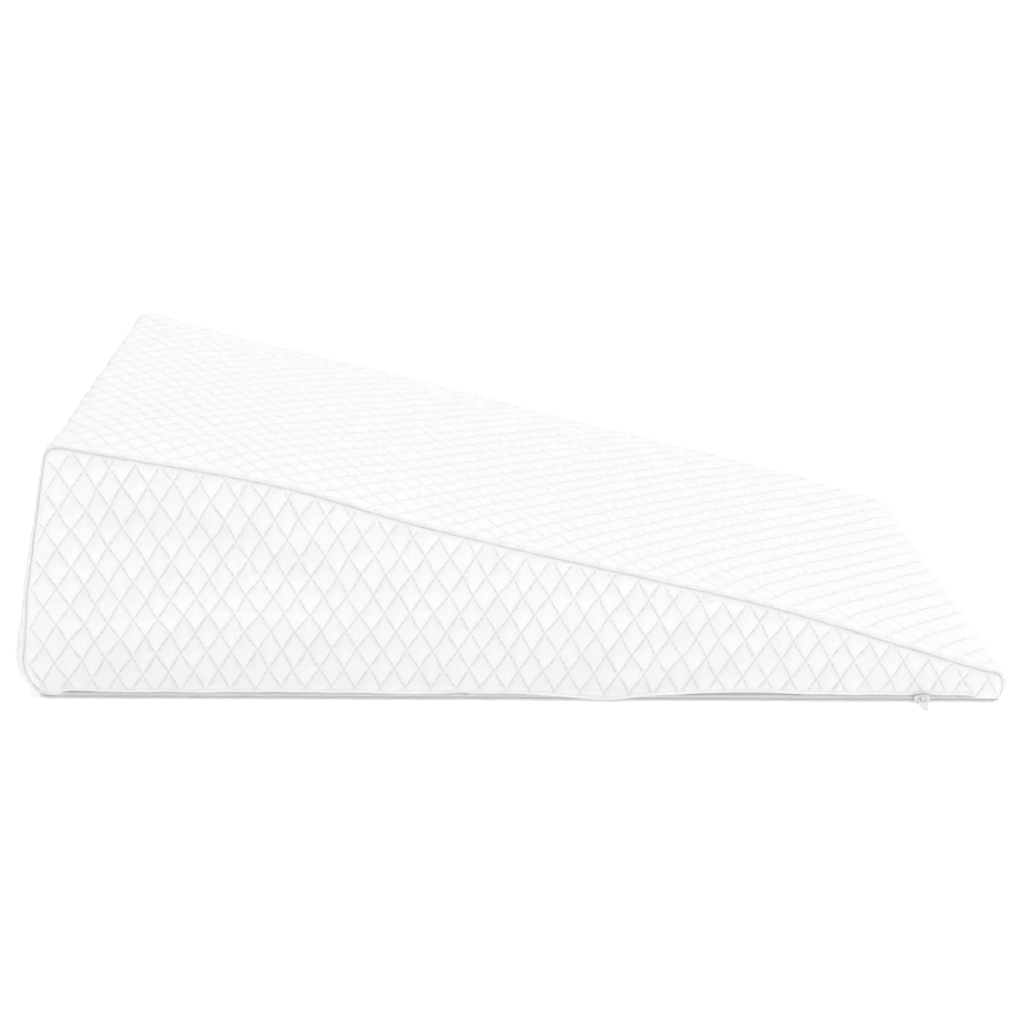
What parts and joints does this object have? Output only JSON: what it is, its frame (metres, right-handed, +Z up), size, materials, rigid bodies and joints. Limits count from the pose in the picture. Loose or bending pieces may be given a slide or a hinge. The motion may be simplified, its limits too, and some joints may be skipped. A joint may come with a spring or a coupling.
{
  "type": "wedge pillow",
  "caption": "Filled wedge pillow in a diamond-quilted knit cover, with flat side panels, a plain base panel and a coil zip along one bottom edge.",
  "frame": {"origin": "middle of the base panel's underside, on the surface the pillow lies on", "axes": "+Z up, +X down the slope from the tall end to the thin end, -Y the side with the zip"},
  "size_m": [0.5974, 0.4197, 0.1602],
  "materials": {
    "quilted_knit": "white polyester knit, matt, softly puffed between diamond stitching",
    "plain_knit": "white plain knit, matt",
    "zip_tape": "white woven polyester tape",
    "zip_coil": "white nylon monofilament",
    "zip_metal": "white painted zinc"
  },
  "bodies": {
    "root": {"quilted_wedge": "quilted_knit", "side_panel_near": "quilted_knit", "side_panel_far": "quilted_knit", "base_panel": "plain_knit", "zip_tape_lower": "zip_tape", "zip_tape_upper": "zip_tape", "zip_coil": "zip_coil", "zip_slider": "zip_metal", "zip_pull": "zip_metal"}
  },
  "joints": []
}
